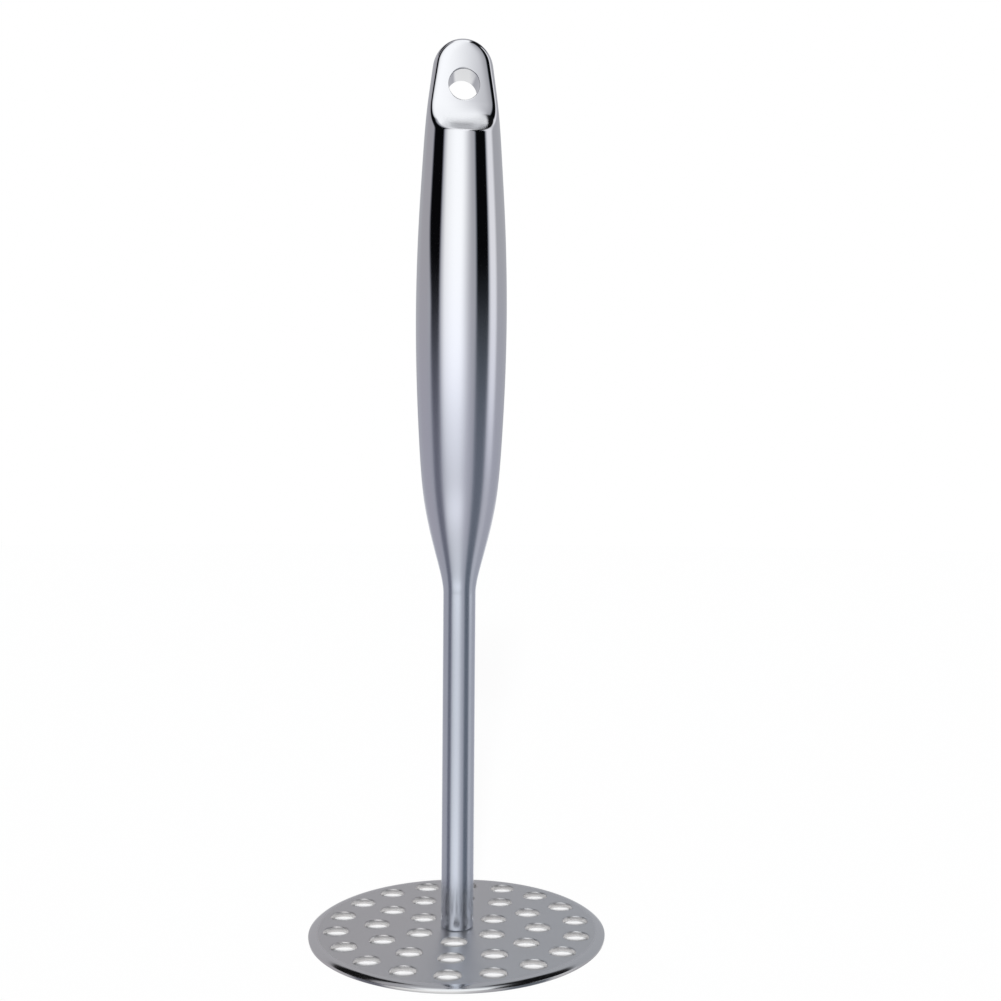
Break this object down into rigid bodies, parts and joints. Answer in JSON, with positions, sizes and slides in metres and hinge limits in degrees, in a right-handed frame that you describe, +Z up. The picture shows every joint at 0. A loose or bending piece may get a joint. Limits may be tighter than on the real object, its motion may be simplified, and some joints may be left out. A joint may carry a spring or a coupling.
{
  "type": "potato masher",
  "caption": "One-handed kitchen masher: a round perforated plate on a straight shaft, under a hollow swelling grip whose flattened end has a hanging hole.",
  "frame": {"origin": "centre of the plate's underside, on the surface that the masher stands on", "axes": "+Z up along the shaft to the hanging end; the flats of the hanging end face -Y and +Y; +X to the right seen from the front"},
  "size_m": [0.0866, 0.0866, 0.2623],
  "materials": {
    "handle_steel": "polished stainless steel, brightest at the hanging end and finely brushed towards the neck",
    "shaft_steel": "finely brushed stainless steel tube",
    "plate_steel": "polished stainless steel sheet",
    "turned_steel": "turned stainless steel, hidden inside",
    "screw_steel": "machined stainless steel"
  },
  "bodies": {
    "root": {"hanging_end": "handle_steel", "end_weld": "handle_steel", "handle_shell": "handle_steel", "neck_weld": "handle_steel", "neck_spigot": "turned_steel", "shaft_tube": "shaft_steel", "foot_plug": "turned_steel", "masher_plate": "plate_steel", "plate_screw": "screw_steel"}
  },
  "joints": []
}
